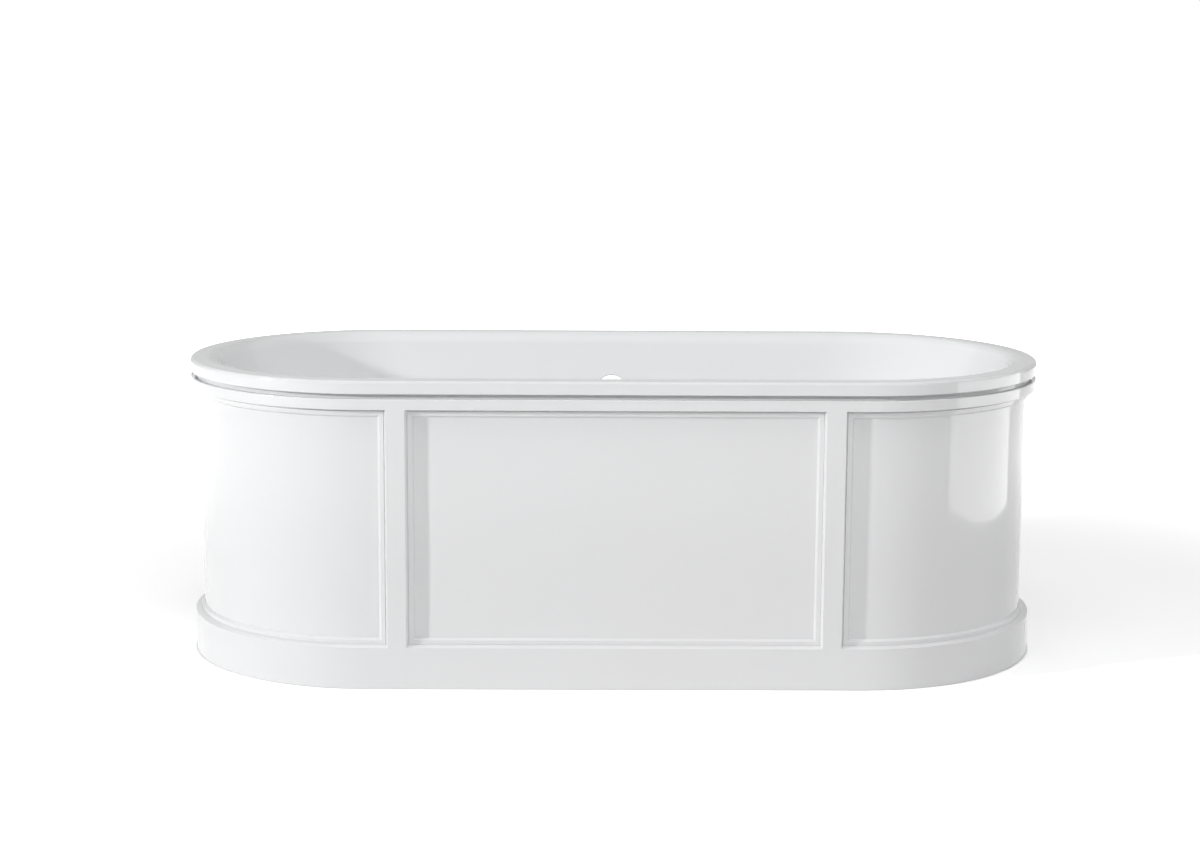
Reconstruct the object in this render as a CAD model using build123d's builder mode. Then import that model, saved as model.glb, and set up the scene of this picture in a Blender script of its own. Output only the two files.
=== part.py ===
from build123d import *
import os
from math import cos, radians, sin, tan

# Panelled oval bath: an enamelled shell on two adjustable cradles, inside a stepped-panel surround.
# Millimetres. X runs along the length, +Y to the side with the overflow, Z up from the floor.

# Overall sizes
LENGTH = 1770.0
WIDTH = 785.0
HEIGHT = 620.0

# Reach of a cutting form past the face it cuts
CUT_MARGIN = 1.0

# Rim of the shell
RIM_FACE = 28.0
RIM_CROWN = 2.0
CROWN_INSET = 27.0
RIM_EDGE_RADIUS = 6.0
RIM_ROLL_RADIUS = 30.0
RIM_THICKNESS = 10.0
LIP_THICKNESS = 9.0
LIP_EDGE_RADIUS = 2.0

# Well of the shell
SHELL_WALL = 8.0
WELL_DEPTH = 430.0
WELL_INSET = 53.0
SIDE_SLOPE = 11.0
END_SLOPE = 25.0
WELL_BOTTOM_RADIUS = 120.0

# Outlets of the shell
OVERFLOW_RADIUS = 33.0
OVERFLOW_DROP = 127.0
OVERFLOW_EDGE = 2.5
WASTE_RADIUS = 26.0
WASTE_Y = 95.0
WASTE_SEAT_RADIUS = 36.0
WASTE_SEAT_DEPTH = 3.0
WASTE_BOSS_RADIUS = 48.0
WASTE_BOSS_DROP = 6.0

# Surround
SHADOW_GAP = 9.4
CORNICE_HEIGHT = 20.8
PLINTH_HEIGHT = 84.0
STILE_WIDTH = 37.0
END_STRAIGHT = 43.0
STEP_WIDTH = 4.5
STEP_DEPTH = 12.5
BEAD_BAND = 8.5
BEAD_SLOPE = 4.0
BEAD_DEPTH = 6.5
PANEL_THICKNESS = 9.0
PANEL_LAP = 10.0
FIT_GAP = 0.2
CORNICE_EDGE_RADIUS = 2.0
PLINTH_EDGE_RADIUS = 1.5
UPSTAND_INSET = 11.0
UPSTAND_THICKNESS = 10.0
CUSHION_HEIGHT = 6.0

# Service opening in the back panel, behind the overflow
SERVICE_WIDTH = 160.0
SERVICE_HEIGHT = 130.0
SERVICE_CORNER = 20.0

# Cradles and feet
CRADLE_X = 300.0
BEAM_WIDTH = 50.0
BEAM_HEIGHT = 30.0
BEAM_WALL = 4.0
BEAM_HALF_LENGTH = 275.0
LEG_SETBACK = 25.0
LEG_WALL = 3.0
LEG_FOOT_Z = 40.0
LEG_PLATE = 6.0
PAD_THICKNESS = 12.0
PAD_LENGTH = 80.0
PAD_Y = 125.0
LUG_Y = 50.0
LUG_RADIUS = 18.0
BOLT_RADIUS = 5.0
BOLT_CLEARANCE = 0.5
THREAD_CLEARANCE = 0.1
BOLT_HEAD_FLATS = 17.0
BOLT_HEAD_HEIGHT = 7.0
BOLT_GRIP_IN_LUG = 10.0
STUD_RADIUS = 6.0
STUD_CLEARANCE = 0.2
STUD_TOP_Z = 100.0
STUD_COLLAR_Z = 13.0
STUD_COLLAR_HEIGHT = 7.0
STUD_FLATS = 17.0
FOOT_RADIUS = 26.0
FOOT_RIM = 5.0
FOOT_NECK_RADIUS = 12.0
NUT_FLATS = 19.0
NUT_HEIGHT = 8.0

# Fixings of the surround
BRACKET_THICKNESS = 4.0
CLIP_LENGTH = 48.0
CLIP_HEIGHT = 18.0
CLIP_SPACING = 170.0
CLEAT_HALF_WIDTH = 40.0
CLEAT_LAP = 11.0
CLEAT_FOOT_Z = 22.0
CLEAT_SCREW_ANGLE = 3.5
STAY_WIDTH = 30.0
STAY_FOOT_Z = 24.0
STAY_SHELF_Z = 60.0
STAY_TAB = 36.0
STAY_BOLT_RADIUS = 3.0
STAY_BOLT_FLATS = 10.0
STAY_BOLT_HEAD = 4.0
STAY_BOLT_LENGTH = 10.0
SCREW_RADIUS = 2.0
SCREW_HEAD_RADIUS = 4.0
SCREW_HEAD_HEIGHT = 2.4
SCREW_GRIP = 12.0

# Derived sizes
ARC_SPACING = LENGTH - WIDTH
HALF_SPACING = ARC_SPACING / 2
HALF_WIDTH = WIDTH / 2
RIM_LOW = HEIGHT - RIM_FACE
RIM_UNDER = HEIGHT - RIM_THICKNESS
SHOULDER = HEIGHT - RIM_CROWN
WELL_FLOOR = HEIGHT - WELL_DEPTH
SHELL_UNDER = WELL_FLOOR - SHELL_WALL
CORNICE_TOP = RIM_LOW - SHADOW_GAP
CORNICE_LOW = CORNICE_TOP - CORNICE_HEIGHT
BEAD_FACE = STEP_DEPTH
PANEL_FACE = STEP_DEPTH + BEAD_DEPTH
FRAME_DEPTH = PANEL_FACE + PANEL_THICKNESS
END_OPENING_X = HALF_SPACING - END_STRAIGHT
FRONT_OPENING_HALF = END_OPENING_X - STILE_WIDTH
BEAM_TOP = SHELL_UNDER - PAD_THICKNESS
BEAM_LOW = BEAM_TOP - BEAM_HEIGHT
LEG_WIDTH = BEAM_WIDTH - 2 * BEAM_WALL
LEG_Y = BEAM_HALF_LENGTH - LEG_SETBACK
OVERFLOW_Z = HEIGHT - OVERFLOW_DROP
UPSTAND_TOP = RIM_UNDER - CUSHION_HEIGHT
OPENING_MIDDLE_Z = (PLINTH_HEIGHT + CORNICE_LOW) / 2
REBATE_LOW = PLINTH_HEIGHT + STEP_WIDTH - PANEL_LAP
REBATE_TOP = CORNICE_LOW - STEP_WIDTH + PANEL_LAP
STILE_MIDDLE_X = FRONT_OPENING_HALF + STILE_WIDTH / 2
FRAME_BACK_Y = HALF_WIDTH - FRAME_DEPTH
BRACKET_FACE_Y = FRAME_BACK_Y - BRACKET_THICKNESS
CLEAT_SEAT_RADIUS = BRACKET_FACE_Y - SCREW_HEAD_RADIUS ** 2 / BRACKET_FACE_Y
CORNICE_SCREW_Z = (REBATE_TOP + CORNICE_TOP) / 2
PLINTH_SCREW_Z = (CLEAT_FOOT_Z + REBATE_LOW) / 2
STAY_SCREW_Z = (STAY_FOOT_Z + STAY_SHELF_Z) / 2
STAY_BOLT_Z = STAY_SHELF_Z + (BRACKET_THICKNESS + STAY_TAB) / 2
LEG_FACE_Y = LEG_Y + LEG_WIDTH / 2

os.makedirs("parts", exist_ok=True)


def save(part: Part, name: str) -> None:
    """Label one finished piece and write it to its own file."""
    part.label = name
    export_step(part, f"parts/{name}.step")


# Oval prisms
def oval(inset: float) -> Sketch:
    """Oval outline of the bath, offset inwards by inset."""
    return SlotCenterToCenter(ARC_SPACING, WIDTH - 2 * inset)


def oval_ring(low: float, high: float, outer: float, inner: float) -> Part:
    """Upright ring between two insets of the outline."""
    with BuildPart(mode=Mode.PRIVATE) as ring:
        with BuildSketch(Plane.XY.offset(low)):
            oval(outer)
            SlotCenterToCenter(ARC_SPACING, WIDTH - 2 * inner, mode=Mode.SUBTRACT)
        extrude(amount=high - low)
    return ring.part


# Well of the shell, with steeper sides than ends
def well_section(z: float, wall: float) -> None:
    """Section of the well at height z, grown outwards by a wall thickness."""
    drop = HEIGHT - z
    radius = HALF_WIDTH - WELL_INSET - drop * tan(radians(SIDE_SLOPE)) + wall / cos(radians(SIDE_SLOPE))
    reach = LENGTH / 2 - WELL_INSET - drop * tan(radians(END_SLOPE)) + wall / cos(radians(END_SLOPE))
    SlotCenterToCenter(2 * (reach - radius), 2 * radius)


def well(top: float, bottom: float, wall: float) -> Part:
    """Closed form of the well from top to bottom, with its rounded floor edge."""
    with BuildPart(mode=Mode.PRIVATE) as form:
        with BuildSketch(Plane.XY.offset(top)):
            well_section(top, wall)
        with BuildSketch(Plane.XY.offset(bottom)):
            well_section(bottom, wall)
        loft(ruled=True)
        fillet(form.edges().group_by(Axis.Z)[0], WELL_BOTTOM_RADIUS + wall)
    return form.part


# Bath shell
def edge_reach(edge: Edge) -> float:
    """Furthest distance of an edge from the long centre line."""
    box = edge.bounding_box()
    return max(abs(box.min.Y), abs(box.max.Y))


OVERFLOW_Y = HALF_WIDTH - WELL_INSET - OVERFLOW_DROP * tan(radians(SIDE_SLOPE))
OVERFLOW_PLANE = Plane(
    origin=(0, OVERFLOW_Y, OVERFLOW_Z),
    x_dir=(1, 0, 0),
    z_dir=(0, cos(radians(SIDE_SLOPE)), -sin(radians(SIDE_SLOPE))),
)

with BuildPart() as bath_shell:
    with BuildSketch(Plane.XY.offset(RIM_LOW)):
        oval(0)
    extrude(amount=SHOULDER - RIM_LOW)
    with BuildSketch(Plane.XY.offset(SHOULDER)):
        oval(0)
    with BuildSketch(Plane.XY.offset(HEIGHT)):
        oval(CROWN_INSET)
    loft(ruled=True)
    shoulder_edges = bath_shell.edges().filter_by_position(Axis.Z, SHOULDER - 0.01, SHOULDER + 0.01)
    fillet(shoulder_edges, RIM_EDGE_RADIUS)
    with BuildSketch(Plane.XY.offset(RIM_LOW)):
        oval(LIP_THICKNESS)
    extrude(amount=RIM_UNDER - RIM_LOW, mode=Mode.SUBTRACT)
    fillet(bath_shell.edges().group_by(Axis.Z)[0], LIP_EDGE_RADIUS)
    add(well(RIM_UNDER + CUT_MARGIN, SHELL_UNDER, SHELL_WALL))

    # Rounded inner edge of the rim
    add(well(HEIGHT + CUT_MARGIN, WELL_FLOOR, 0), mode=Mode.SUBTRACT)
    top_edges = bath_shell.edges().group_by(Axis.Z)[-1]
    crown_reach = HALF_WIDTH - CROWN_INSET - CUT_MARGIN
    fillet([edge for edge in top_edges if edge_reach(edge) < crown_reach], RIM_ROLL_RADIUS)

    # Overflow hole, square to the sloping back wall
    with BuildSketch(OVERFLOW_PLANE.offset(-SHELL_WALL)):
        Circle(OVERFLOW_RADIUS)
    extrude(amount=4 * SHELL_WALL, mode=Mode.SUBTRACT)
    fillet(bath_shell.edges().sort_by_distance(OVERFLOW_PLANE.origin)[0], OVERFLOW_EDGE)

    # Waste hole with its sunk seat and boss
    with BuildSketch(Plane.XY.offset(SHELL_UNDER - WASTE_BOSS_DROP)):
        with Locations((0, WASTE_Y)):
            Circle(WASTE_BOSS_RADIUS)
    extrude(amount=WASTE_BOSS_DROP + SHELL_WALL / 2)
    with BuildSketch(Plane.XY.offset(WELL_FLOOR - WASTE_SEAT_DEPTH)):
        with Locations((0, WASTE_Y)):
            Circle(WASTE_SEAT_RADIUS)
    extrude(amount=2 * WASTE_SEAT_DEPTH, mode=Mode.SUBTRACT)
    with BuildSketch(Plane.XY.offset(SHELL_UNDER - WASTE_BOSS_DROP)):
        with Locations((0, WASTE_Y)):
            Circle(WASTE_RADIUS)
    extrude(amount=2 * SHELL_WALL + WASTE_BOSS_DROP, mode=Mode.SUBTRACT)

    # Cast lugs for the cradle bolts
    with BuildSketch(Plane.XY.offset(BEAM_TOP)):
        with GridLocations(2 * CRADLE_X, 2 * LUG_Y, 2, 2):
            Circle(LUG_RADIUS)
    extrude(amount=PAD_THICKNESS + SHELL_WALL / 2)
    with BuildSketch(Plane.XY.offset(BEAM_TOP)):
        with GridLocations(2 * CRADLE_X, 2 * LUG_Y, 2, 2):
            Circle(BOLT_RADIUS + THREAD_CLEARANCE)
    extrude(amount=BOLT_GRIP_IN_LUG + CUT_MARGIN, mode=Mode.SUBTRACT)
save(bath_shell.part, "bath_shell")


# Openings of the surround, given as blocks between two depths behind its face
def flat_block(depth_a: float, inset_a: float, depth_b: float, inset_b: float) -> Part:
    """Block of the front opening, its outline drawn in by inset_a at depth_a and by inset_b at depth_b."""
    height = CORNICE_LOW - PLINTH_HEIGHT
    with BuildPart(mode=Mode.PRIVATE) as block:
        for depth, inset in ((depth_a, inset_a), (depth_b, inset_b)):
            plane = Plane(origin=(0, depth - HALF_WIDTH, OPENING_MIDDLE_Z), x_dir=(1, 0, 0), z_dir=(0, 1, 0))
            with BuildSketch(plane):
                Rectangle(2 * (FRONT_OPENING_HALF - inset), height - 2 * inset)
        loft(ruled=True)
    return block.part


def end_block(depth_a: float, inset_a: float, depth_b: float, inset_b: float) -> Part:
    """Block of the right end opening, which follows the outline from front stile to back stile."""
    start_x = END_OPENING_X - 2 * PANEL_LAP
    with BuildPart(mode=Mode.PRIVATE) as block:
        with BuildLine():
            Line((start_x, -HALF_WIDTH), (HALF_SPACING, -HALF_WIDTH))
            ThreePointArc((HALF_SPACING, -HALF_WIDTH), (LENGTH / 2, 0), (HALF_SPACING, HALF_WIDTH))
            Line((HALF_SPACING, HALF_WIDTH), (start_x, HALF_WIDTH))
        with BuildSketch(Plane.YZ.offset(start_x)):
            with BuildLine():
                Polyline(
                    (depth_a - HALF_WIDTH, PLINTH_HEIGHT + inset_a),
                    (depth_a - HALF_WIDTH, CORNICE_LOW - inset_a),
                    (depth_b - HALF_WIDTH, CORNICE_LOW - inset_b),
                    (depth_b - HALF_WIDTH, PLINTH_HEIGHT + inset_b),
                    close=True,
                )
            make_face()
        sweep()
        # The two ends are trimmed to the same slope as the long edges
        slope = (inset_b - inset_a) / (depth_b - depth_a)
        lead = slope * CUT_MARGIN
        near = (END_OPENING_X + inset_a - lead, depth_a - HALF_WIDTH - CUT_MARGIN)
        far = (END_OPENING_X + inset_b + lead, depth_b - HALF_WIDTH + CUT_MARGIN)
        behind = start_x - CUT_MARGIN
        with BuildSketch():
            with BuildLine():
                Polyline((behind, near[1]), near, far, (behind, far[1]), close=True)
            make_face()
            mirror(about=Plane.XZ)
        extrude(amount=HEIGHT, mode=Mode.SUBTRACT)
    return block.part


def opening_cut(block) -> Part:
    """Everything cut from the frame for one opening: sloped step, bead seat and panel rebate."""
    step = block(-CUT_MARGIN, -CUT_MARGIN * STEP_WIDTH / STEP_DEPTH, STEP_DEPTH, STEP_WIDTH)
    seat = block(STEP_DEPTH, STEP_WIDTH, PANEL_FACE, STEP_WIDTH)
    rebate_inset = STEP_WIDTH - PANEL_LAP
    rebate = block(PANEL_FACE, rebate_inset, FRAME_DEPTH + CUT_MARGIN, rebate_inset)
    return step + seat + rebate


def bead_ring(block) -> Part:
    """Stepped bead that frames one panel."""
    outer = STEP_WIDTH + FIT_GAP
    band = outer + BEAD_BAND
    rise = CUT_MARGIN * BEAD_SLOPE / BEAD_DEPTH
    inner = block(BEAD_FACE - CUT_MARGIN, band - rise, PANEL_FACE + CUT_MARGIN, band + BEAD_SLOPE + rise)
    return block(BEAD_FACE, outer, PANEL_FACE, outer) - inner


def panel_sheet(block) -> Part:
    """Flat or curved sheet that closes one opening from behind."""
    inset = STEP_WIDTH - PANEL_LAP + FIT_GAP
    return block(PANEL_FACE, inset, FRAME_DEPTH, inset)


# Screw places on the back of the surround, each looking out through its frame
def screw_planes() -> list[Plane]:
    """Planes of the clip, stay and cleat screws, on the inner faces of those brackets."""
    flat_places = [(-CRADLE_X, STAY_SCREW_Z), (CRADLE_X, STAY_SCREW_Z)]
    for step in (-1, 0, 1):
        clip_z = OPENING_MIDDLE_Z + step * CLIP_SPACING
        flat_places += [(-STILE_MIDDLE_X, clip_z), (STILE_MIDDLE_X, clip_z)]
    planes = []
    for side in (-1, 1):
        for x, z in flat_places:
            planes.append(Plane(origin=(x, side * BRACKET_FACE_Y, z), z_dir=(0, side, 0)))
        for turn in (-CLEAT_SCREW_ANGLE, CLEAT_SCREW_ANGLE):
            out = Vector(side * cos(radians(turn)), sin(radians(turn)), 0)
            for z in (CORNICE_SCREW_Z, PLINTH_SCREW_Z):
                centre = Vector(side * HALF_SPACING, 0, z)
                planes.append(Plane(origin=centre + out * CLEAT_SEAT_RADIUS, z_dir=out))
    return planes


with BuildPart() as screw_holes:
    with BuildSketch(*screw_planes()):
        Circle(SCREW_RADIUS + THREAD_CLEARANCE)
    extrude(amount=BRACKET_THICKNESS + SCREW_GRIP + THREAD_CLEARANCE)

# Surround, both halves as one ring before the seams at the ends are cut
with BuildPart() as surround:
    add(oval_ring(0, CORNICE_TOP, 0, FRAME_DEPTH))
    for level, radius in ((-1, CORNICE_EDGE_RADIUS), (0, PLINTH_EDGE_RADIUS)):
        level_edges = surround.edges().group_by(Axis.Z)[level]
        fillet([edge for edge in level_edges if edge_reach(edge) > HALF_WIDTH - CUT_MARGIN], radius)
    add(oval_ring(CORNICE_TOP, UPSTAND_TOP, UPSTAND_INSET, UPSTAND_INSET + UPSTAND_THICKNESS))
    front_cut = opening_cut(flat_block)
    end_cut = opening_cut(end_block)
    add(front_cut, mode=Mode.SUBTRACT)
    add(front_cut.mirror(Plane.XZ), mode=Mode.SUBTRACT)
    add(end_cut, mode=Mode.SUBTRACT)
    add(end_cut.mirror(Plane.YZ), mode=Mode.SUBTRACT)
    add(screw_holes.part, mode=Mode.SUBTRACT)

for name, seam, kept_side in (
    ("surround_front", -FIT_GAP / 2, Keep.BOTTOM),
    ("surround_back", FIT_GAP / 2, Keep.TOP),
):
    with BuildPart() as half:
        add(surround.part)
        split(bisect_by=Plane(origin=(0, seam, 0), z_dir=(0, 1, 0)), keep=kept_side)
    save(half.part, name)

# Beads and panels of the four openings
with BuildPart() as bead_front:
    add(bead_ring(flat_block))
save(bead_front.part, "bead_front")

with BuildPart() as bead_back:
    add(bead_front.part.mirror(Plane.XZ))
save(bead_back.part, "bead_back")

with BuildPart() as bead_right:
    add(bead_ring(end_block))
save(bead_right.part, "bead_right")

with BuildPart() as bead_left:
    add(bead_right.part.mirror(Plane.YZ))
save(bead_left.part, "bead_left")

with BuildPart() as panel_front:
    add(panel_sheet(flat_block))
save(panel_front.part, "panel_front")

with BuildPart() as panel_back:
    add(panel_front.part.mirror(Plane.XZ))
    with BuildSketch(Plane(origin=(0, 0, OVERFLOW_Z), x_dir=(1, 0, 0), z_dir=(0, 1, 0))):
        RectangleRounded(SERVICE_WIDTH, SERVICE_HEIGHT, SERVICE_CORNER)
    extrude(amount=HALF_WIDTH, mode=Mode.SUBTRACT)
save(panel_back.part, "panel_back")

with BuildPart() as panel_right:
    add(panel_sheet(end_block))
save(panel_right.part, "panel_right")

with BuildPart() as panel_left:
    add(panel_right.part.mirror(Plane.YZ))
save(panel_left.part, "panel_left")

# Cushion between the upstand of the surround and the rim
with BuildPart() as rim_cushion:
    add(oval_ring(UPSTAND_TOP, RIM_UNDER, UPSTAND_INSET, UPSTAND_INSET + UPSTAND_THICKNESS))
save(rim_cushion.part, "rim_cushion")


# Cradles, each a pressed channel with two tube legs and threaded foot plates
def hexagon(flats: float) -> None:
    """Hexagon given by the size across its flats."""
    RegularPolygon(flats / 2, 6, major_radius=False)


with BuildPart() as stay_bolt_holes:
    with BuildSketch(Plane.XZ.offset(LEG_FACE_Y - STAY_BOLT_LENGTH)):
        with Locations((-CRADLE_X, STAY_BOLT_Z), (CRADLE_X, STAY_BOLT_Z)):
            Circle(STAY_BOLT_RADIUS + THREAD_CLEARANCE)
    extrude(amount=STAY_BOLT_LENGTH + BRACKET_THICKNESS)
    mirror(about=Plane.XZ)

for name, side in (("cradle_left", -1), ("cradle_right", 1)):
    centre_x = side * CRADLE_X
    with BuildPart() as cradle:
        with BuildSketch(Plane.XY.offset(BEAM_LOW)):
            with Locations((centre_x, 0)):
                Rectangle(BEAM_WIDTH, 2 * BEAM_HALF_LENGTH)
        extrude(amount=BEAM_HEIGHT)
        with BuildSketch(Plane.XY.offset(BEAM_LOW)):
            with Locations((centre_x, 0)):
                Rectangle(BEAM_WIDTH - 2 * BEAM_WALL, 2 * BEAM_HALF_LENGTH)
        extrude(amount=BEAM_HEIGHT - BEAM_WALL, mode=Mode.SUBTRACT)
        with BuildSketch(Plane.XY.offset(LEG_FOOT_Z)):
            with Locations((centre_x, LEG_Y), (centre_x, -LEG_Y)):
                RectangleRounded(LEG_WIDTH, LEG_WIDTH, LEG_WALL)
                Rectangle(LEG_WIDTH - 2 * LEG_WALL, LEG_WIDTH - 2 * LEG_WALL, mode=Mode.SUBTRACT)
        extrude(amount=BEAM_TOP - BEAM_WALL - LEG_FOOT_Z)
        with BuildSketch(Plane.XY.offset(LEG_FOOT_Z)):
            with Locations((centre_x, LEG_Y), (centre_x, -LEG_Y)):
                Rectangle(LEG_WIDTH - LEG_WALL, LEG_WIDTH - LEG_WALL)
        extrude(amount=LEG_PLATE)
        with BuildSketch(Plane.XY.offset(LEG_FOOT_Z + LEG_PLATE)):
            with Locations((centre_x, LEG_Y), (centre_x, -LEG_Y)):
                hexagon(NUT_FLATS)
        extrude(amount=NUT_HEIGHT)
        with BuildSketch(Plane.XY.offset(LEG_FOOT_Z)):
            with Locations((centre_x, LEG_Y), (centre_x, -LEG_Y)):
                Circle(STUD_RADIUS + STUD_CLEARANCE)
        extrude(amount=LEG_PLATE + NUT_HEIGHT, mode=Mode.SUBTRACT)
        with BuildSketch(Plane.XY.offset(BEAM_LOW)):
            with Locations((centre_x, LUG_Y), (centre_x, -LUG_Y)):
                Circle(BOLT_RADIUS + BOLT_CLEARANCE)
        extrude(amount=BEAM_HEIGHT, mode=Mode.SUBTRACT)
        add(stay_bolt_holes.part, mode=Mode.SUBTRACT)
    save(cradle.part, name)

with BuildPart() as cradle_pads:
    with BuildSketch(Plane.XY.offset(BEAM_TOP)):
        with GridLocations(2 * CRADLE_X, 2 * PAD_Y, 2, 2):
            RectangleRounded(BEAM_WIDTH, PAD_LENGTH, BEAM_WALL)
    extrude(amount=PAD_THICKNESS)
save(cradle_pads.part, "cradle_pads")

# Bolts up through the channels into the lugs
BOLT_SEAT = BEAM_TOP - BEAM_WALL
with BuildPart() as cradle_bolts:
    with BuildSketch(Plane.XY.offset(BOLT_SEAT - BOLT_HEAD_HEIGHT)):
        with GridLocations(2 * CRADLE_X, 2 * LUG_Y, 2, 2):
            hexagon(BOLT_HEAD_FLATS)
    extrude(amount=BOLT_HEAD_HEIGHT)
    with BuildSketch(Plane.XY.offset(BOLT_SEAT)):
        with GridLocations(2 * CRADLE_X, 2 * LUG_Y, 2, 2):
            Circle(BOLT_RADIUS)
    extrude(amount=BEAM_WALL + BOLT_GRIP_IN_LUG)
save(cradle_bolts.part, "cradle_bolts")

# Levelling feet
with BuildPart() as foot_locknuts:
    with BuildSketch(Plane.XY.offset(LEG_FOOT_Z - NUT_HEIGHT)):
        with GridLocations(2 * CRADLE_X, 2 * LEG_Y, 2, 2):
            hexagon(NUT_FLATS)
            Circle(STUD_RADIUS + STUD_CLEARANCE, mode=Mode.SUBTRACT)
    extrude(amount=NUT_HEIGHT)
save(foot_locknuts.part, "foot_locknuts")

FEET = {
    "front_left": (-CRADLE_X, -LEG_Y),
    "front_right": (CRADLE_X, -LEG_Y),
    "back_left": (-CRADLE_X, LEG_Y),
    "back_right": (CRADLE_X, LEG_Y),
}
for corner, place in FEET.items():
    with BuildPart() as foot_stud:
        with BuildSketch(Plane.XY.offset(STUD_COLLAR_Z)):
            with Locations(place):
                hexagon(STUD_FLATS)
        extrude(amount=STUD_COLLAR_HEIGHT)
        with BuildSketch(Plane.XY.offset(FOOT_RIM)):
            with Locations(place):
                Circle(STUD_RADIUS)
        extrude(amount=STUD_TOP_Z - FOOT_RIM)
    save(foot_stud.part, f"foot_stud_{corner}")

    with BuildPart() as foot_pad:
        axis_plane = Plane(origin=(place[0], place[1], 0), x_dir=(1, 0, 0), z_dir=(0, -1, 0))
        with BuildSketch(axis_plane):
            with BuildLine():
                Polyline(
                    (0, 0),
                    (FOOT_RADIUS, 0),
                    (FOOT_RADIUS, FOOT_RIM),
                    (FOOT_NECK_RADIUS, STUD_COLLAR_Z),
                    (STUD_RADIUS + STUD_CLEARANCE, STUD_COLLAR_Z),
                    (STUD_RADIUS + STUD_CLEARANCE, FOOT_RIM),
                    (0, FOOT_RIM),
                    close=True,
                )
            make_face()
        revolve(axis=Axis((place[0], place[1], 0), (0, 0, 1)))
    save(foot_pad.part, f"foot_pad_{corner}")

# Cleats behind the end seams, which also hold the end panels at top and bottom
with BuildPart() as end_cleats:
    add(oval_ring(REBATE_TOP - CLEAT_LAP, CORNICE_TOP, FRAME_DEPTH, FRAME_DEPTH + BRACKET_THICKNESS))
    add(oval_ring(CLEAT_FOOT_Z, REBATE_LOW + CLEAT_LAP, FRAME_DEPTH, FRAME_DEPTH + BRACKET_THICKNESS))
    with BuildSketch():
        with Locations((LENGTH / 2, 0), (-LENGTH / 2, 0)):
            Rectangle(4 * FRAME_DEPTH, 2 * CLEAT_HALF_WIDTH)
    extrude(amount=HEIGHT, mode=Mode.INTERSECT)
    add(screw_holes.part, mode=Mode.SUBTRACT)
save(end_cleats.part, "end_cleats")

# Clips across the stiles, each holding the two panels beside it
with BuildPart() as panel_clips:
    for side in (-1, 1):
        clip_origin = (0, side * BRACKET_FACE_Y, OPENING_MIDDLE_Z)
        with BuildSketch(Plane(origin=clip_origin, x_dir=(1, 0, 0), z_dir=(0, side, 0))):
            with GridLocations(2 * STILE_MIDDLE_X, CLIP_SPACING, 2, 3):
                Rectangle(CLIP_LENGTH, CLIP_HEIGHT)
        extrude(amount=BRACKET_THICKNESS)
    add(screw_holes.part, mode=Mode.SUBTRACT)
save(panel_clips.part, "panel_clips")

# Stays from the cradle legs to the plinth
with BuildPart() as stay_bolts:
    for side in (-1, 1):
        head_origin = (0, side * (LEG_FACE_Y + BRACKET_THICKNESS), STAY_BOLT_Z)
        head_plane = Plane(origin=head_origin, x_dir=(1, 0, 0), z_dir=(0, side, 0))
        with BuildSketch(head_plane):
            with GridLocations(2 * CRADLE_X, 0, 2, 1):
                hexagon(STAY_BOLT_FLATS)
        extrude(amount=STAY_BOLT_HEAD)
        with BuildSketch(head_plane):
            with GridLocations(2 * CRADLE_X, 0, 2, 1):
                Circle(STAY_BOLT_RADIUS)
        extrude(amount=-STAY_BOLT_LENGTH)
save(stay_bolts.part, "stay_bolts")

with BuildPart() as plinth_stays:
    for x in (-CRADLE_X, CRADLE_X):
        with BuildSketch(Plane.YZ.offset(x - STAY_WIDTH / 2)):
            with BuildLine():
                Polyline(
                    (LEG_FACE_Y, STAY_SHELF_Z),
                    (LEG_FACE_Y, STAY_SHELF_Z + STAY_TAB),
                    (LEG_FACE_Y + BRACKET_THICKNESS, STAY_SHELF_Z + STAY_TAB),
                    (LEG_FACE_Y + BRACKET_THICKNESS, STAY_SHELF_Z + BRACKET_THICKNESS),
                    (FRAME_BACK_Y, STAY_SHELF_Z + BRACKET_THICKNESS),
                    (FRAME_BACK_Y, STAY_FOOT_Z),
                    (BRACKET_FACE_Y, STAY_FOOT_Z),
                    (BRACKET_FACE_Y, STAY_SHELF_Z),
                    close=True,
                )
            make_face()
            mirror(about=Plane.YZ)
        extrude(amount=STAY_WIDTH)
    add(stay_bolt_holes.part, mode=Mode.SUBTRACT)
    add(screw_holes.part, mode=Mode.SUBTRACT)
save(plinth_stays.part, "plinth_stays")

# Screws of the clips, cleats and stays
with BuildPart() as surround_screws:
    with BuildSketch(*screw_planes()):
        Circle(SCREW_HEAD_RADIUS)
    extrude(amount=-SCREW_HEAD_HEIGHT)
    with BuildSketch(*screw_planes()):
        Circle(SCREW_RADIUS)
    extrude(amount=BRACKET_THICKNESS + SCREW_GRIP)
save(surround_screws.part, "surround_screws")
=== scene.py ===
"""Oval bath in a panelled surround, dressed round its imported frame."""

import logging
import math
from dataclasses import dataclass, field
from enum import Enum

import bmesh
import bpy
from mathutils import Matrix, Vector


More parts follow.
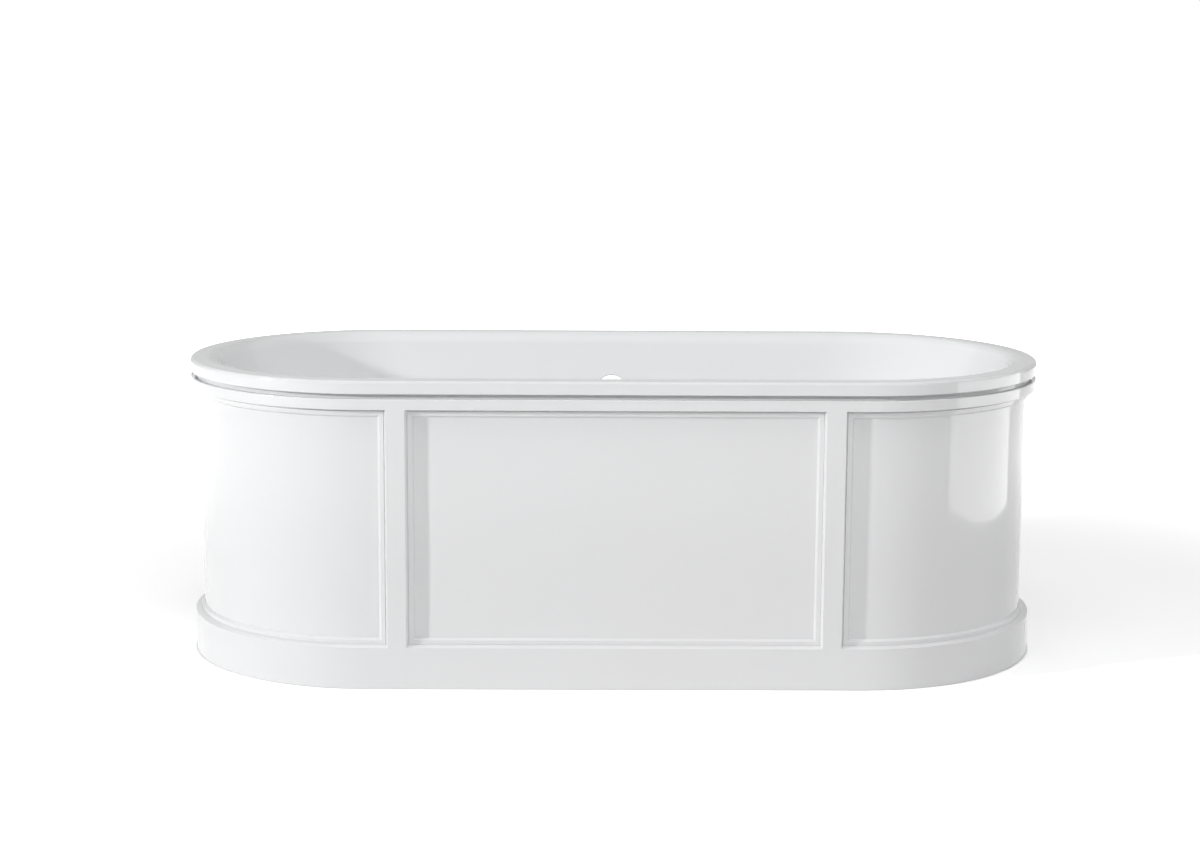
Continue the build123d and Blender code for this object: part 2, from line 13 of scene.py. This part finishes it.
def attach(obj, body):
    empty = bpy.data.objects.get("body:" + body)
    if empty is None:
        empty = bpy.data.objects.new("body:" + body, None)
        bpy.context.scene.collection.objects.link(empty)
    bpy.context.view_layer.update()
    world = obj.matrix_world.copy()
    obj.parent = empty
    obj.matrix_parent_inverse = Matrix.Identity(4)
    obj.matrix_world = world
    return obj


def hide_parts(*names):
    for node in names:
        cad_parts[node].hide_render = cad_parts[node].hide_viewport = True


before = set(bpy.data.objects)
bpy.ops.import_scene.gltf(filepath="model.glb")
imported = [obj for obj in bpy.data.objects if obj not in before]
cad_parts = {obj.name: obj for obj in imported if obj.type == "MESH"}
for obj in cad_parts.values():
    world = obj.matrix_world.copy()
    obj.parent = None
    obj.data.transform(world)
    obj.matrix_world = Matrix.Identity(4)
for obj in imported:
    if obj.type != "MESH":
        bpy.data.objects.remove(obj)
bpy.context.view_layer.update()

log = logging.getLogger("bath")

Colour = tuple[float, float, float]
Point = tuple[float, float, float]
Socket = bpy.types.NodeSocket

WHITE = (1.0, 1.0, 1.0, 1.0)
QUAD = [(0, 1, 2, 3)]


class Slot(Enum):
    """Finish slots of the part's record."""

    SHELL = "shell_enamel"
    SURROUND = "surround_gloss"
    RUBBER = "rubber"
    PAINT = "cradle_paint"
    ZINC = "bracket_zinc"
    STEEL = "steel_fixings"


def srgb(red: int, green: int, blue: int) -> Colour:
    """Linear colour of an 8-bit screen colour.

    Args:
        red: Red, 0 to 255.
        green: Green, 0 to 255.
        blue: Blue, 0 to 255.

    Returns:
        The three linear values.
    """
    def channel(value: int) -> float:
        """Linear value of one channel."""
        share = value / 255
        return share / 12.92 if share <= 0.04045 else ((share + 0.055) / 1.055) ** 2.4

    return channel(red), channel(green), channel(blue)


class NodeSheet:
    """Thin helper that lays out the nodes of one material or of the world."""

    noise_low: float = 0.3
    noise_high: float = 0.7
    noise_roughness: float = 0.5

    def __init__(self, tree: bpy.types.NodeTree) -> None:
        """Start from an empty sheet.

        Args:
            tree: Node tree to fill.
        """
        self.tree = tree
        tree.nodes.clear()

    def add(self, kind: str, **settings: object) -> bpy.types.Node:
        """Add a node with its own settings.

        Args:
            kind: Node type, such as ShaderNodeMath.
            settings: Attributes of the node.

        Returns:
            The new node.
        """
        node = self.tree.nodes.new(kind)
        for key, value in settings.items():
            setattr(node, key, value)
        return node

    def link(self, source: Socket, target: Socket) -> None:
        """Join an output to an input."""
        self.tree.links.new(source, target)

    def calc(self, operation: str, *values: Socket | float) -> Socket:
        """One step of arithmetic.

        Args:
            operation: Name of the math operation.
            values: Outputs or plain numbers to feed it.

        Returns:
            The result.
        """
        node = self.add("ShaderNodeMath", operation=operation)
        for socket, value in zip(node.inputs, values):
            if isinstance(value, Socket):
                self.link(value, socket)
            else:
                socket.default_value = value
        return node.outputs["Value"]

    def noise(self, place: Socket, scale: float, detail: float) -> Socket:
        """Noise over the object's own place.

        Args:
            place: Coordinate output to read.
            scale: Cycles per metre.
            detail: Octaves.

        Returns:
            The noise value.
        """
        node = self.add("ShaderNodeTexNoise")
        node.inputs["Scale"].default_value = scale
        node.inputs["Detail"].default_value = detail
        node.inputs["Roughness"].default_value = self.noise_roughness
        self.link(place, node.inputs["Vector"])
        return node.outputs["Fac"]

    def spread(self, value: Socket, low: float, high: float) -> Socket:
        """Map the middle of a noise onto a range.

        Args:
            value: Noise value.
            low: Result at the low end of the noise.
            high: Result at the high end of the noise.

        Returns:
            The mapped value.
        """
        node = self.add("ShaderNodeMapRange")
        node.inputs["From Min"].default_value = self.noise_low
        node.inputs["From Max"].default_value = self.noise_high
        node.inputs["To Min"].default_value = low
        node.inputs["To Max"].default_value = high
        self.link(value, node.inputs["Value"])
        return node.outputs["Result"]

    def between(self, value: Socket, first: Colour, second: Colour) -> Socket:
        """Colour between two tones, by a value.

        Args:
            value: Noise value.
            first: Tone at the low end of the noise.
            second: Tone at the high end of the noise.

        Returns:
            The mixed colour.
        """
        ramp = self.add("ShaderNodeValToRGB")
        low_end, high_end = ramp.color_ramp.elements
        low_end.position = self.noise_low
        low_end.color = (*first, 1.0)
        high_end.position = self.noise_high
        high_end.color = (*second, 1.0)
        self.link(value, ramp.inputs["Fac"])
        return ramp.outputs["Color"]

    def fade(self, value: Socket, start: float, end: float, first: float, last: float) -> Socket:
        """Smooth step from one value to another.

        Args:
            value: Value that drives the step.
            start: Driving value at which the step starts.
            end: Driving value at which it ends.
            first: Result before the step.
            last: Result after the step.

        Returns:
            The stepped value.
        """
        node = self.add("ShaderNodeMapRange", interpolation_type="SMOOTHSTEP")
        for name, number in (("From Min", start), ("From Max", end), ("To Min", first), ("To Max", last)):
            node.inputs[name].default_value = number
        self.link(value, node.inputs["Value"])
        return node.outputs["Result"]

    def place(self) -> tuple[Socket, Socket]:
        """Place of the shaded point in the object's own frame.

        Returns:
            Its X and Y.
        """
        coordinates = self.add("ShaderNodeTexCoord")
        split = self.add("ShaderNodeSeparateXYZ")
        self.link(coordinates.outputs["Object"], split.inputs["Vector"])
        return split.outputs["X"], split.outputs["Y"]

    def choose(self, share: Socket, first: Socket, second: Socket) -> Socket:
        """Mix of two shaders.

        Args:
            share: Share of the second shader.
            first: First shader.
            second: Second shader.

        Returns:
            The mixed shader.
        """
        mix = self.add("ShaderNodeMixShader")
        self.link(share, mix.inputs["Fac"])
        self.link(first, mix.inputs[1])
        self.link(second, mix.inputs[2])
        return mix.outputs["Shader"]

    def looked_at(self) -> Socket:
        """Value that is 1 for what the eye sees directly, in gloss or through glass.

        Returns:
            The value, 0 or 1.
        """
        path = self.add("ShaderNodeLightPath").outputs
        direct = self.calc("MAXIMUM", path["Is Camera Ray"], path["Is Glossy Ray"])
        return self.calc("MAXIMUM", direct, path["Is Transmission Ray"])


def quad(name: str, corners: list[Point]) -> bpy.types.Object:
    """Flat piece of staging with four corners.

    Args:
        name: Name of the piece.
        corners: The corners, in turn.

    Returns:
        The new object, linked to the scene.
    """
    data = bpy.data.meshes.new(name)
    data.from_pydata(corners, [], QUAD)
    piece = bpy.data.objects.new(name, data)
    bpy.context.scene.collection.objects.link(piece)
    return piece


def blank(name: str) -> tuple[bpy.types.Material, NodeSheet, Socket]:
    """New material with nothing but its output.

    Args:
        name: Name of the material.

    Returns:
        The material, its sheet and the socket that takes the surface.
    """
    made = bpy.data.materials.new(name)
    made.use_nodes = True
    sheet = NodeSheet(made.node_tree)
    return made, sheet, sheet.add("ShaderNodeOutputMaterial").inputs["Surface"]


@dataclass(frozen=True)
class Finish:
    """A finish: two close tones, a roughness range and a fine relief."""

    name: str
    slot: Slot
    tone: Colour
    tone_two: Colour
    rough_low: float
    rough_high: float
    cloud_scale: float
    relief_scale: float
    relief_height: float
    metal: float = 0.0
    coat: float = 0.0
    coat_rough: float = 0.03
    refraction: float = 1.5
    cloud_octaves: float = 3.0
    grain_octaves: float = 2.0

    def material(self) -> bpy.types.Material:
        """Build the finish once and hand it out again after that.

        Returns:
            The Blender material.
        """
        found = bpy.data.materials.get(self.name)
        if found:
            return found
        made, sheet, surface = blank(self.name)
        shader = sheet.add("ShaderNodeBsdfPrincipled")
        sheet.link(shader.outputs["BSDF"], surface)
        shader.inputs["Metallic"].default_value = self.metal
        shader.inputs["IOR"].default_value = self.refraction
        shader.inputs["Coat Weight"].default_value = self.coat
        shader.inputs["Coat Roughness"].default_value = self.coat_rough
        place = sheet.add("ShaderNodeTexCoord").outputs["Object"]
        cloud = sheet.noise(place, self.cloud_scale, self.cloud_octaves)
        sheet.link(sheet.between(cloud, self.tone, self.tone_two), shader.inputs["Base Color"])
        grain = sheet.noise(place, self.relief_scale, self.grain_octaves)
        sheet.link(sheet.spread(grain, self.rough_low, self.rough_high), shader.inputs["Roughness"])
        bump = sheet.add("ShaderNodeBump")
        bump.inputs["Strength"].default_value = 1.0
        bump.inputs["Distance"].default_value = self.relief_height
        sheet.link(grain, bump.inputs["Height"])
        sheet.link(bump.outputs["Normal"], shader.inputs["Normal"])
        return made

    def dress(self, piece: bpy.types.Object) -> None:
        """Put the finish on a piece.

        Args:
            piece: Mesh object to dress.
        """
        piece.data.materials.clear()
        piece.data.materials.append(self.material())


ENAMEL = Finish("enamel_white", Slot.SHELL, srgb(238, 239, 240), srgb(236, 237, 238),
                0.05, 0.09, 1.4, 95.0, 0.000012, coat=0.5)
GLOSS = Finish("surround_white", Slot.SURROUND, srgb(238, 239, 240), srgb(237, 237, 238),
               0.07, 0.11, 1.1, 60.0, 0.000010, coat=0.4)
RUBBER = Finish("rubber_black", Slot.RUBBER, srgb(40, 40, 41), srgb(52, 52, 53),
                0.55, 0.72, 30.0, 900.0, 0.00005)
PAINT = Finish("cradle_black_paint", Slot.PAINT, srgb(47, 48, 50), srgb(56, 57, 59),
               0.32, 0.46, 14.0, 600.0, 0.00004)
ZINC = Finish("zinc_plate", Slot.ZINC, srgb(176, 178, 180), srgb(196, 197, 196),
              0.26, 0.40, 60.0, 420.0, 0.00001, metal=1.0)
STEEL = Finish("bright_steel", Slot.STEEL, srgb(188, 189, 190), srgb(202, 202, 201),
               0.20, 0.34, 90.0, 700.0, 0.00001, metal=1.0)


@dataclass(frozen=True)
class Oval:
    """Plan outline of the bath: two half rounds joined by straights."""

    half_spacing: float = 0.4925
    radius: float = 0.3925

    def outward(self, point: Vector) -> Vector:
        """Direction square to the outline at a point.

        Args:
            point: Any point beside the outline.

        Returns:
            Unit vector in plan.
        """
        past = max(abs(point.x) - self.half_spacing, 0.0)
        return Vector((math.copysign(past, point.x), point.y, 0.0)).normalized()


OUTLINE = Oval()


class Softened:
    """Copy of a CAD node's mesh that may be reshaped and have its arrises rounded."""

    weld: float = 0.00002
    sharp: float = math.radians(28)
    plain_sharp: float = math.radians(70)
    steps: int = 3

    def __init__(self, node: str, radius: float, finish: Finish) -> None:
        """Copy the node's mesh and weld it.

        Args:
            node: Name of the CAD node.
            radius: Radius of the rounded arrises, 0 to leave them as they are.
            finish: Finish of the piece.
        """
        self.node = node
        self.radius = radius
        self.finish = finish
        self.form = bmesh.new()
        self.form.from_mesh(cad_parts[node].data)
        bmesh.ops.remove_doubles(self.form, verts=self.form.verts, dist=self.weld)

    def build(self) -> None:
        """Make the piece from the form, ride it on the bath and let it stand for the node."""
        for face in self.form.faces:
            face.smooth = True
        data = bpy.data.meshes.new(f"{self.node}_soft")
        self.form.to_mesh(data)
        self.form.free()
        for name in [item.name for item in data.attributes if "normal" in item.name]:
            data.attributes.remove(data.attributes[name])
        piece = bpy.data.objects.new(f"{self.node}_soft", data)
        bpy.context.scene.collection.objects.link(piece)
        if self.radius > 0.0:
            data.set_sharp_from_angle(angle=self.sharp)
            self.round_arrises(piece)
        else:
            data.set_sharp_from_angle(angle=self.plain_sharp)
            piece.modifiers.new("even_shading", "WEIGHTED_NORMAL").keep_sharp = True
        self.finish.dress(piece)
        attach(piece, "bath")
        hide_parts(self.node)
        log.info("%s softened", self.node)

    def round_arrises(self, piece: bpy.types.Object) -> None:
        """Round the sharp edges of the piece.

        Args:
            piece: Piece to round.
        """
        bevel = piece.modifiers.new("arris", "BEVEL")
        bevel.width = self.radius
        bevel.segments = self.steps
        bevel.limit_method = "ANGLE"
        bevel.angle_limit = self.sharp
        bevel.harden_normals = True
        bevel.miter_outer = "MITER_ARC"


@dataclass
class Shell:
    """Cast shell of the bath with its rolled rim."""

    node: str = "bath_shell"
    finish: Finish = ENAMEL

    def build(self) -> None:
        """Dress the shell."""
        self.finish.dress(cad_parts[self.node])
        log.info("%s dressed", self.node)


@dataclass
class Surround:
    """Frame, beads and panels round the shell, and the cushion between frame and rim."""

    frames: tuple[str, ...] = ("surround_front", "surround_back")
    sides: tuple[str, ...] = ("front", "back", "left", "right")
    cushion: str = "rim_cushion"
    upstand_foot: float = 0.5827
    set_back: float = 0.007
    frame_arris: float = 0.0012
    bead_arris: float = 0.0007
    finish: Finish = GLOSS

    def deepen_gap(self, form: bmesh.types.BMesh) -> None:
        """Set the upstand back, so that the gap under the rim falls into shadow.

        Args:
            form: Form of one frame half or of the cushion.
        """
        for vert in form.verts:
            if vert.co.z > self.upstand_foot:
                vert.co -= OUTLINE.outward(vert.co) * self.set_back

    def build(self) -> None:
        """Round the frame halves and beads, set the upstand back with its cushion, dress the panels."""
        for name in self.frames:
            half = Softened(name, self.frame_arris, self.finish)
            self.deepen_gap(half.form)
            half.build()
        cushion = Softened(self.cushion, 0.0, RUBBER)
        self.deepen_gap(cushion.form)
        cushion.build()
        for side in self.sides:
            Softened(f"bead_{side}", self.bead_arris, self.finish).build()
            self.finish.dress(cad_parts[f"panel_{side}"])
            log.info("panel_%s dressed", side)


@dataclass
class Underside:
    """What carries the bath and holds its surround: cradles, feet, clips, stays, cleats and bolts."""

    finishes: dict[str, Finish] = field(default_factory=lambda: {
        "cradle_pads": RUBBER,
        "cradle_left": PAINT,
        "cradle_right": PAINT,
        "cradle_bolts": STEEL,
        "foot_locknuts": STEEL,
        "foot_stud": STEEL,
        "foot_pad": RUBBER,
        "end_cleats": ZINC,
        "panel_clips": GLOSS,
        "plinth_stays": ZINC,
        "surround_screws": GLOSS,
        "stay_bolts": STEEL,
    })

    def build(self) -> None:
        """Dress every piece by the start of its name."""
        for name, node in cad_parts.items():
            for start, finish in self.finishes.items():
                if name.startswith(start):
                    finish.dress(node)
                    log.info("%s dressed", name)


@dataclass(frozen=True)
class Lamp:
    """A rectangular soft lamp aimed at the bath."""

    name: str
    place: Point
    size: tuple[float, float]
    power: float
    in_gloss: bool = False
    aim: Point = (0.0, 0.0, 0.3)

    def build(self) -> None:
        """Add the lamp to the scene."""
        data = bpy.data.lights.new(self.name, "AREA")
        data.shape = "RECTANGLE"
        data.size, data.size_y = self.size
        data.energy = self.power
        lamp = bpy.data.objects.new(self.name, data)
        bpy.context.scene.collection.objects.link(lamp)
        lamp.location = self.place
        lamp.visible_glossy = self.in_gloss
        lamp.rotation_mode = "QUATERNION"
        lamp.rotation_quaternion = (Vector(self.aim) - Vector(self.place)).to_track_quat("-Z", "Y")


@dataclass(frozen=True)
class Card:
    """An upright card that only gloss reflects."""

    name: str
    foot: Point
    aim: Point
    width: float
    height: float
    tone: float
    soft_edge: float
    edge_tone: float = 1.0

    def build(self) -> None:
        """Add the card to the scene as staging."""
        half = self.width / 2
        low = [(-half, 0, 0), (half, 0, 0)]
        high = [(half, 0, self.height), (-half, 0, self.height)]
        card = quad(self.name, low + high)
        card.location = self.foot
        to_bath = Vector(self.aim) - Vector(self.foot)
        card.rotation_euler = (0.0, 0.0, math.atan2(to_bath.y, to_bath.x) + math.pi / 2)
        made, sheet, surface = blank(self.name)
        glow = sheet.add("ShaderNodeEmission")
        across = sheet.calc("ABSOLUTE", sheet.place()[0])
        inner = half - self.soft_edge * self.width
        sheet.link(sheet.fade(across, half, inner, self.edge_tone, self.tone), glow.inputs["Strength"])
        sheet.link(glow.outputs["Emission"], surface)
        card.data.materials.append(made)
        card.visible_camera = False
        card.visible_diffuse = False
        card.visible_shadow = False
        card.visible_transmission = False


@dataclass
class Studio:
    """Floor, light and camera."""

    camera_place: Point = (-0.0695, -4.9442, 1.3125)
    yaw: float = 0.0084
    pitch: float = 0.1709
    roll: float = 0.0054
    focal_pixels: float = 2369.7
    image_width: float = 1200.0
    sensor_width: float = 36.0
    far_clip: float = 100.0
    ambient: float = 0.15
    # Painted shade on the floor: its glow runs from the first lift near the bath to the second far off,
    # over the fade distances, so the floor is darker near the bath.
    floor_lift: tuple[float, float] = (0.32, 1.0)
    floor_fade: tuple[float, float] = (0.5, 2.5)
    # Width of a painted contact shadow: the floor's glow drops to nothing this close to the bath's outline.
    painted_contact_shadow: float = 0.006
    floor_half: float = 30.0
    floor_grey: float = 0.86
    lamps: tuple[Lamp, ...] = (
        Lamp("key_box", (-7.9, -3.5, 2.75), (0.45, 0.45), 378.0, in_gloss=True),
        Lamp("front_fill", (1.0, -5.4, 4.6), (3.0, 2.0), 76.0),
        Lamp("top_box", (0.3, -1.2, 4.0), (3.6, 2.4), 62.0),
        Lamp("right_fill", (4.4, -1.6, 1.5), (2.0, 1.4), 15.0),
        Lamp("back_fill", (-2.0, 6.5, 2.0), (4.0, 2.4), 100.0),
    )
    cards: tuple[Card, ...] = (
        Card("card_behind", (0.0, 4.0, 0.0), (0.0, 0.0, 0.0), 12.0, 4.0, 0.60, 0.01),
        Card("card_right", (2.25, -0.22, 0.0), (0.0, -0.22, 0.0), 1.95, 0.9, 3.0, 0.06),
    )

    def build(self) -> None:
        """Set up the whole studio."""
        self.floor()
        self.world()
        for lamp in self.lamps:
            lamp.build()
        for card in self.cards:
            card.build()
        self.camera()
        log.info("studio built")

    def floor(self) -> None:
        """Pale floor that shows white and keeps the bath's real shadow, with painted shade near the bath
        and a painted contact shadow at its foot.
        """
        half = self.floor_half
        near = [(-half, -half, 0), (half, -half, 0)]
        far = [(half, half, 0), (-half, half, 0)]
        floor = quad("studio_floor", near + far)
        made, sheet, surface = blank("floor_white")
        lit = sheet.add("ShaderNodeBsdfDiffuse")
        lit.inputs["Color"].default_value = (self.floor_grey, self.floor_grey, self.floor_grey, 1.0)
        seen = sheet.add("ShaderNodeBsdfDiffuse")
        seen.inputs["Color"].default_value = WHITE
        lift = sheet.add("ShaderNodeEmission")
        sheet.link(self.lift_with_painted_shade(sheet), lift.inputs["Strength"])
        both = sheet.add("ShaderNodeAddShader")
        sheet.link(seen.outputs["BSDF"], both.inputs[0])
        sheet.link(lift.outputs["Emission"], both.inputs[1])
        sheet.link(sheet.choose(sheet.looked_at(), lit.outputs["BSDF"], both.outputs["Shader"]), surface)
        floor.data.materials.append(made)

    def lift_with_painted_shade(self, sheet: NodeSheet) -> Socket:
        """Whiteness of the floor, which grows with the distance from the bath's outline: painted shade near
        the bath that fades out further off, and a thin painted contact shadow at the outline.

        Args:
            sheet: Sheet to add the nodes to.

        Returns:
            The strength of the lift.
        """
        x, y = sheet.place()
        beyond = sheet.calc("SUBTRACT", sheet.calc("ABSOLUTE", x), OUTLINE.half_spacing)
        along = sheet.calc("POWER", sheet.calc("MAXIMUM", beyond, 0.0), 2.0)
        across = sheet.calc("POWER", sheet.calc("ABSOLUTE", y), 2.0)
        reach = sheet.calc("SUBTRACT", sheet.calc("SQRT", sheet.calc("ADD", along, across)), OUTLINE.radius)
        # Painted shade: less glow near the bath, more further off.
        painted_shade_by_distance = sheet.fade(reach, *self.floor_fade, *self.floor_lift)
        # Painted contact shadow: no glow right at the outline.
        painted_contact_shadow = sheet.fade(reach, 0.0, self.painted_contact_shadow, 0.0, 1.0)
        return sheet.calc("MULTIPLY", painted_shade_by_distance, painted_contact_shadow)

    def world(self) -> None:
        """Even surroundings, white to the eye and plain as light."""
        world = bpy.data.worlds.new("studio_world")
        bpy.context.scene.world = world
        world.use_nodes = True
        sheet = NodeSheet(world.node_tree)
        surface = sheet.add("ShaderNodeOutputWorld").inputs["Surface"]
        light = sheet.add("ShaderNodeBackground")
        light.inputs["Color"].default_value = WHITE
        light.inputs["Strength"].default_value = self.ambient
        seen = sheet.add("ShaderNodeBackground")
        seen.inputs["Color"].default_value = WHITE
        shown = sheet.choose(sheet.looked_at(), light.outputs["Background"], seen.outputs["Background"])
        sheet.link(shown, surface)

    def camera(self) -> None:
        """Camera at the photograph's own place and angle."""
        data = bpy.data.cameras.new("photo_camera")
        data.sensor_width = self.sensor_width
        data.lens = self.focal_pixels / self.image_width * self.sensor_width
        data.clip_end = self.far_clip
        camera = bpy.data.objects.new("photo_camera", data)
        bpy.context.scene.collection.objects.link(camera)
        ahead = Vector((math.sin(self.yaw) * math.cos(self.pitch),
                        math.cos(self.yaw) * math.cos(self.pitch), -math.sin(self.pitch)))
        right = Vector((math.cos(self.yaw), -math.sin(self.yaw), 0.0))
        up = right.cross(ahead)
        across = right * math.cos(self.roll) + up * math.sin(self.roll)
        upright = up * math.cos(self.roll) - right * math.sin(self.roll)
        turn = Matrix((across, upright, -ahead)).transposed()
        camera.matrix_world = Matrix.Translation(self.camera_place) @ turn.to_4x4()
        bpy.context.scene.camera = camera


def main() -> None:
    """Dress the bath and set up the studio."""
    logging.basicConfig(level=logging.INFO)
    bpy.context.scene.view_settings.view_transform = "Standard"
    for group in (Shell(), Surround(), Underside(), Studio()):
        group.build()


if __name__ == "__main__":
    main()
